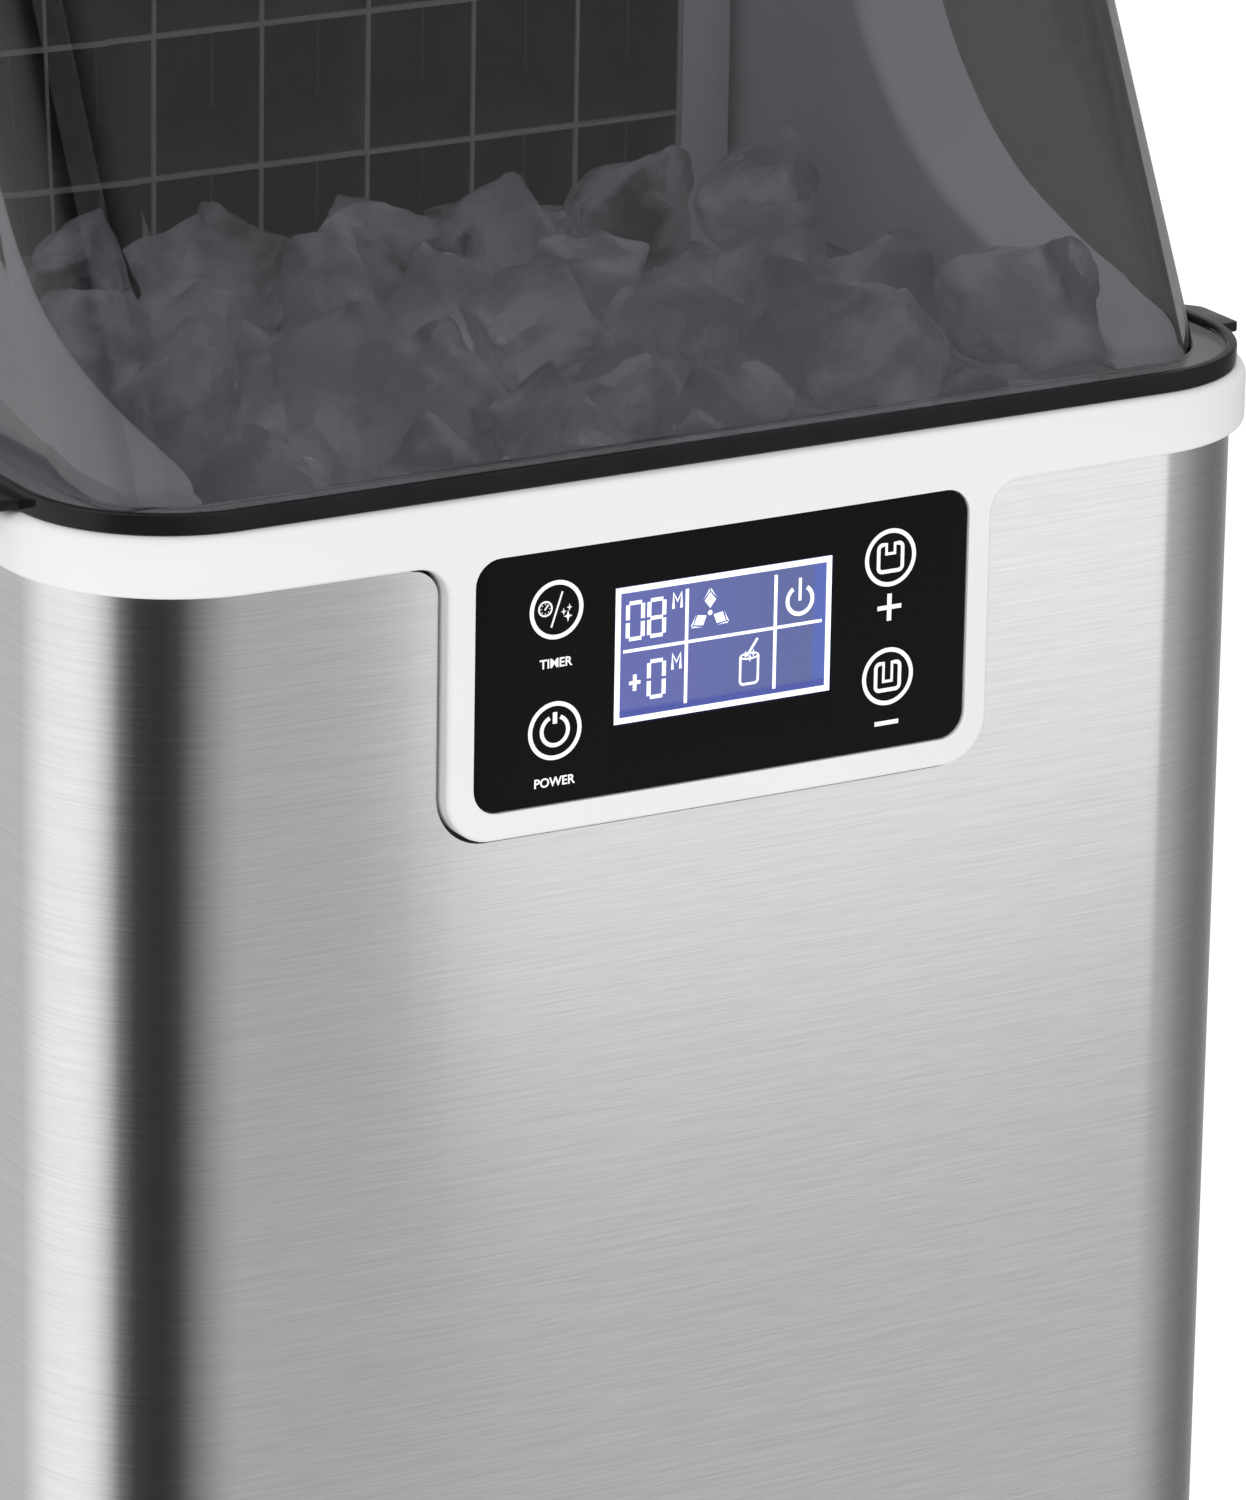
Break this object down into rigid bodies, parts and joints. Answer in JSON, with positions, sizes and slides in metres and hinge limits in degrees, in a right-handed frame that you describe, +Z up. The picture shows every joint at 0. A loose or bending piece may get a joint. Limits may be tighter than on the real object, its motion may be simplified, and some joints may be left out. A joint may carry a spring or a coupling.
{
  "type": "ice maker",
  "caption": "Free-standing ice maker with a brushed steel body, white collar and control panel, and a smoked lid that hinges up over an insulated ice bin.",
  "frame": {"origin": "centre of the footprint on the floor, midway between the furthest points left and right and front and back", "axes": "+Z up, the front with the control panel faces -Y, +X to the right of someone who faces the front"},
  "size_m": [0.38, 0.38, 0.8],
  "materials": {
    "stainless": "fine horizontal brushed grain, satin",
    "galvanised": "zinc-coated sheet, dull grey",
    "white_plastic": "satin moulded white plastic",
    "smoked_plastic": "smoked transparent plastic, glossy",
    "black_overlay": "black panel film with printed light legends",
    "display": "lit blue display behind a clear window",
    "circuit_board": "green laminate with dark components",
    "foam": "pale rigid foam",
    "nickel_plate": "dark nickel-plated copper",
    "copper": "bare drawn copper",
    "brass": "machined brass with a dark coil",
    "black_paint": "black semi-gloss paint",
    "rubber": "matt black rubber",
    "aluminium_fins": "plain aluminium fins",
    "clear_hose": "milky translucent plastic"
  },
  "bodies": {
    "cabinet": {"back_panel": "galvanised", "base_pan": "galvanised", "bin_drain_tube": "clear_hose", "bin_insulation": "foam", "bin_liner": "white_plastic", "bin_probe": "stainless", "collar": "white_plastic", "compressor": "black_paint", "compressor_grommet_1": "rubber", "compressor_grommet_2": "rubber", "compressor_grommet_3": "rubber", "compressor_grommet_4": "rubber", "condenser_core": "aluminium_fins", "control_board": "circuit_board", "cord_gland": "rubber", "discharge_line": "copper", "evaporator_coil": "copper", "evaporator_frame": "white_plastic", "evaporator_grid": "nickel_plate", "fan_motor": "black_paint", "fan_shroud": "black_paint", "filter_drier": "copper", "hinge_pin_left": "stainless", "hinge_pin_right": "stainless", "hot_gas_line_lower": "copper", "hot_gas_line_upper": "copper", "hot_gas_valve": "brass", "ice_slide": "white_plastic", "inlet_hose": "clear_hose", "lcd_module": "display", "liquid_line": "copper", "mid_deck": "galvanised", "outer_wrap": "stainless", "panel_overlay": "black_overlay", "panel_screw_1": "galvanised", "panel_screw_2": "galvanised", "panel_screw_3": "galvanised", "panel_screw_4": "galvanised", "power_board": "circuit_board", "pump_body": "black_paint", "pump_hose": "clear_hose", "rear_housing": "white_plastic", "side_cheek_left": "white_plastic", "side_cheek_right": "white_plastic", "suction_line": "copper", "top_cover": "white_plastic", "water_distributor": "clear_hose", "water_inlet_valve": "clear_hose", "water_trough": "white_plastic"},
    "lid": {"lid": "smoked_plastic"},
    "fan_rotor": {"fan_blades": "clear_hose"},
    "pump_rotor": {"pump_impeller": "clear_hose"},
    "float": {"float_arm": "clear_hose"},
    "drain_plug": {"drain_cap": "rubber"},
    "foot_front_left": {"levelling_foot_front_left": "rubber"},
    "foot_front_right": {"levelling_foot_front_right": "rubber"},
    "foot_rear_left": {"levelling_foot_rear_left": "rubber"},
    "foot_rear_right": {"levelling_foot_rear_right": "rubber"}
  },
  "joints": [
    {"name": "lid_hinge", "type": "hinge", "parent": "cabinet", "child": "lid", "pos_m": [0, 0.05, 0.792], "axis": [-1, 0, 0], "range_deg": [0, 130]},
    {"name": "fan_spin", "type": "hinge", "parent": "cabinet", "child": "fan_rotor", "pos_m": [0.105, -0.036, 0.13], "axis": [1, 0, 0], "continuous": true},
    {"name": "pump_spin", "type": "hinge", "parent": "cabinet", "child": "pump_rotor", "pos_m": [0.095, 0.114, 0.5625], "axis": [0, 0, 1], "continuous": true},
    {"name": "float_hinge", "type": "hinge", "parent": "cabinet", "child": "float", "pos_m": [-0.1, 0.066, 0.5905], "axis": [-1, 0, 0], "range_deg": [0, 10]},
    {"name": "drain_cap_pull", "type": "slide", "parent": "cabinet", "child": "drain_plug", "axis": [0, 1, 0], "range_m": [0, 0.02]},
    {"name": "foot_turn_front_left", "type": "hinge", "parent": "cabinet", "child": "foot_front_left", "pos_m": [-0.145, -0.141, 0], "axis": [0, 0, 1], "continuous": true},
    {"name": "foot_turn_front_right", "type": "hinge", "parent": "cabinet", "child": "foot_front_right", "pos_m": [0.145, -0.141, 0], "axis": [0, 0, 1], "continuous": true},
    {"name": "foot_turn_rear_left", "type": "hinge", "parent": "cabinet", "child": "foot_rear_left", "pos_m": [-0.145, 0.139, 0], "axis": [0, 0, 1], "continuous": true},
    {"name": "foot_turn_rear_right", "type": "hinge", "parent": "cabinet", "child": "foot_rear_right", "pos_m": [0.145, 0.139, 0], "axis": [0, 0, 1], "continuous": true}
  ]
}
